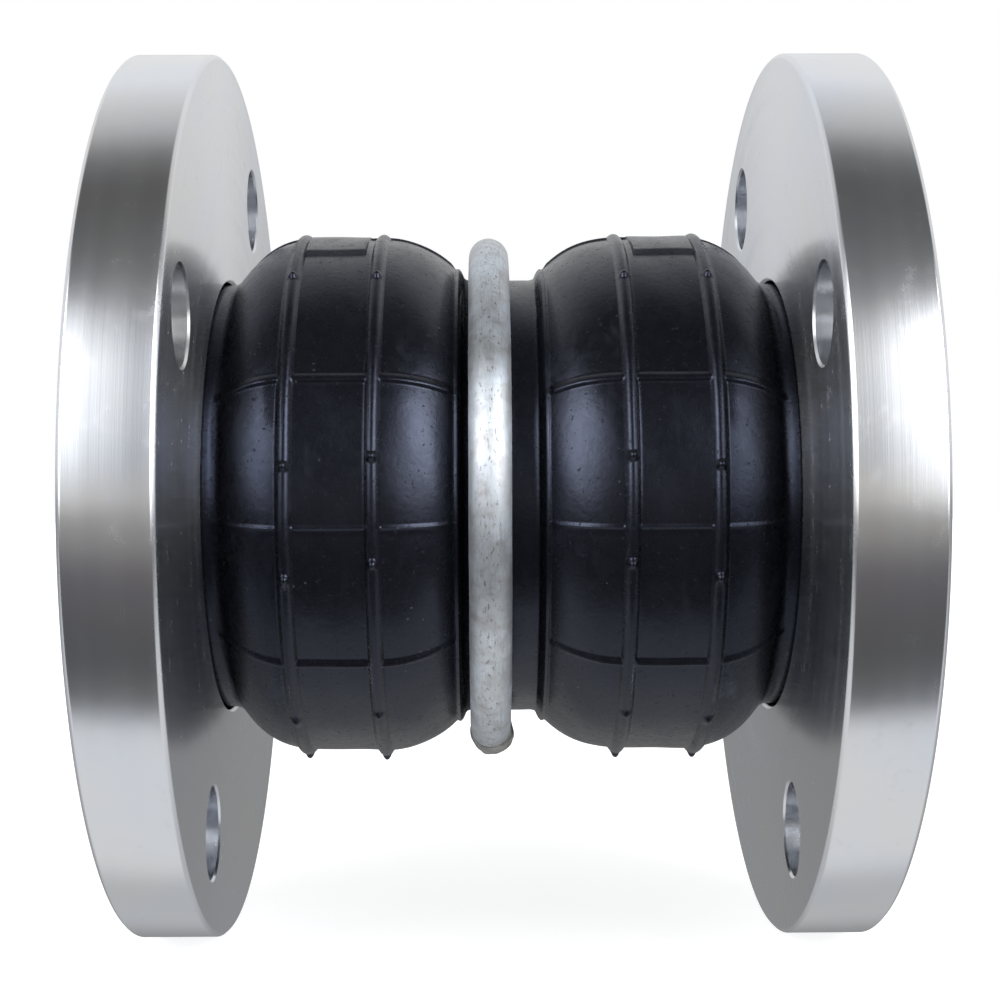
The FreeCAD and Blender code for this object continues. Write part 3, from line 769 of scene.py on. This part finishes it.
def build_root_ring(materials):
    """The bent rod, a touch uneven, open by a small gap under the weld."""
    around, section = ((288, 40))
    gap = math.radians(ROD_GAP_DEG)
    start = math.radians(WELD_DEG) + gap
    rings = []
    for i in range(around + 1):
        angle = start + (math.tau - 2 * gap) * i / around
        lift = 0.12 * math.sin(2 * angle + 0.6) + 0.05 * math.sin(5 * angle)
        ring = []
        for j in range(section):
            turn = math.tau * j / section
            rough = 0.07 * noise.noise(Vector((math.cos(angle) * 5, math.sin(angle) * 5, j * 0.35)))
            size = ROD_RADIUS + rough
            r = RING_RADIUS + lift + size * math.cos(turn)
            ring.append(ring_point(RING_X + size * math.sin(turn), r, angle))
        rings.append(ring)
    fit_on_ring(tube_mesh("ring_rod", rings), materials["rod"], "root_ring")


def build_weld(materials):
    """A lumpy weld bead lapped over both rod ends."""
    around, section = 40, 48
    rings = []
    for i in range(around + 1):
        t = i / around * 2 - 1
        angle = math.radians(WELD_DEG + WELD_SPAN_DEG / 2 * t)
        swell = math.sqrt(max(0.0, 1 - t ** 4))
        ring = []
        for j in range(section):
            turn = math.tau * j / section
            lump = Vector((t * 3.2, math.cos(turn) * 1.9, math.sin(turn) * 1.9))
            ripple = 0.16 * math.sin(9 * t + 1.3 * math.cos(turn)) + 0.45 * noise.noise(lump)
            size = WELD_RADIUS + (0.50 + ripple + 0.35 * math.sin(turn)) * swell
            r = RING_RADIUS + WELD_LIFT + size * math.cos(turn)
            ring.append(ring_point(RING_X + size * math.sin(turn), r, angle))
        rings.append(ring)
    fit_on_ring(tube_mesh("ring_weld", rings), materials["weld"], "root_ring_weld")


# ---------------------------------------------------------------- stage

def build_camera():
    """Level with the pipe axis, a little left of the middle, about four flange radii away."""
    camera = bpy.data.objects.new("camera", bpy.data.cameras.new("camera"))
    bpy.context.scene.collection.objects.link(camera)
    camera.data.sensor_width = 36.0
    camera.data.lens = CAMERA_LENS
    camera.data.clip_start = 0.01
    camera.data.clip_end = 20.0
    to_view = roll_pitch_yaw(*CAMERA_TURN) @ Matrix(((1, 0, 0), (0, -1, 0), (0, 0, -1)))
    axes = []
    for row, flip in ((0, 1.0), (1, -1.0), (2, -1.0)):
        axis = Vector(to_view[row]) * flip
        axes.append((axis.x, -axis.z, axis.y))
    place = Matrix.Translation((CAMERA_X * MM, -CAMERA_DISTANCE * MM, 0.0))
    camera.matrix_world = place @ Matrix(axes).transposed().to_4x4()
    bpy.context.scene.camera = camera


def roll_pitch_yaw(yaw, pitch, roll):
    """The turn of a view whose own axes run right, down and away."""
    turn_y = Matrix(((math.cos(yaw), 0, math.sin(yaw)), (0, 1, 0), (-math.sin(yaw), 0, math.cos(yaw))))
    turn_x = Matrix(((1, 0, 0), (0, math.cos(pitch), -math.sin(pitch)), (0, math.sin(pitch), math.cos(pitch))))
    turn_z = Matrix(((math.cos(roll), -math.sin(roll), 0), (math.sin(roll), math.cos(roll), 0), (0, 0, 1)))
    return turn_z @ turn_x @ turn_y


def environment_tone(tree, direction):
    """Brightness of the room by direction. Elevation runs round the pipe axis: 0 is the camera's side, 90 is
    up and 180 is behind. A white table lies below, a dark stretch in front of it, a dark strip overhead and a
    bright room behind, with a soft box at each side of the camera. The boxes go by height over the horizon."""
    def turn_of(degrees):
        return 0.5 + degrees / 360

    split = add(tree, "ShaderNodeSeparateXYZ", {0: direction})
    front = maths(tree, "MULTIPLY", split.outputs[1], -1.0)
    elevation = maths(tree, "ARCTAN2", split.outputs[2], front)
    turn = times_plus(tree, elevation, 1 / math.tau, 0.5)
    room_stops = (
        (-180, 0.27), (-152, 0.32), (-135, 0.58), (-113, 0.60), (-103, 0.88), (-58, 0.90), (-52, 0.16),
        (-40, 0.11), (-18, (0.15, 0.14, 0.15)), (-11, (0.30, 0.285, 0.26)), (-5, (0.34, 0.32, 0.30)),
        (0, (0.55, 0.51, 0.45)), (8, 0.26), (40, 0.20), (70, 0.13), (82, 0.11), (92, 0.20), (103, 0.62),
        (128, 1.0), (160, 0.85), (180, 0.60))
    room = ramp(tree, turn, [(turn_of(degrees), tone) for degrees, tone in room_stops])
    height = times_plus(tree, maths(tree, "ARCSINE", split.outputs[2]), 1 / math.tau, 0.5)
    before = add(tree, "ShaderNodeMapRange", {"Value": front, "From Min": 0.0, "From Max": 0.2}).outputs[0]
    aside = maths(tree, "DIVIDE", split.outputs[0], maths(tree, "MAXIMUM", front, 0.02))
    lit = room
    boxes = ((-1.0, BOX_LEFT, BOX_LEFT_SIDEWAYS, BOX_LEFT_UP),
             (1.0, BOX_RIGHT, BOX_RIGHT_SIDEWAYS, BOX_RIGHT_UP))
    for side, strength, sideways, upward in boxes:
        share = ramp(tree, maths(tree, "MULTIPLY", aside, side / BOX_REACH),
                     [(reach / BOX_REACH, tone) for reach, tone in sideways])
        band = ramp(tree, height, [(turn_of(degrees), tone) for degrees, tone in upward])
        box = mix(tree, 1.0, mix(tree, 1.0, share, band, "MULTIPLY"),
                  maths(tree, "MULTIPLY", before, strength), "MULTIPLY")
        lit = mix(tree, 1.0, lit, box, "ADD")
    return lit


def build_light():
    """A soft studio: everything is lit by the room itself, which the camera sees as plain white."""
    world = bpy.data.worlds.new("studio")
    world.use_nodes = True
    bpy.context.scene.world = world
    tree = world.node_tree
    direction = add(tree, "ShaderNodeTexCoord").outputs["Generated"]
    lit = environment_tone(tree, direction)
    seen = add(tree, "ShaderNodeLightPath").outputs["Is Camera Ray"]
    tree.links.new(mix(tree, seen, lit, (1.0, 1.0, 1.0)), tree.nodes["Background"].inputs["Color"])


def build_floor():
    """A plain white floor that runs off into the white room. Reflections take the room's own table instead."""
    mesh = bpy.data.meshes.new("floor")
    reach, level = 6.0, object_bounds()[0][2]
    corners = ((-reach, -reach), (reach, -reach), (reach, reach), (-reach, reach))
    mesh.from_pydata([(x, y, level) for x, y in corners], [], [(0, 1, 2, 3)])
    floor = bpy.data.objects.new("floor", mesh)
    bpy.context.scene.collection.objects.link(floor)
    material, tree, shader = new_material("floor_white")
    shader.inputs["Base Color"].default_value = (0.55, 0.55, 0.55, 1)
    shader.inputs["Roughness"].default_value = 0.9
    shader.inputs["Specular IOR Level"].default_value = 0.0
    shader.inputs["Emission Color"].default_value = (1.0, 1.0, 1.0, 1)
    shader.inputs["Emission Strength"].default_value = 0.72
    floor.data.materials.append(material)
    floor.visible_glossy = False


def main():
    materials = make_materials()
    build_wall(materials)
    build_root_ring(materials)
    build_weld(materials)
    for side, sign in SIDES:
        build_collar(side, sign, materials)
        build_flange(side, sign, materials)
        dress_bead(side, materials)
    build_floor()
    build_camera()
    build_light()
    bpy.context.scene.view_settings.view_transform = "Standard"


main()
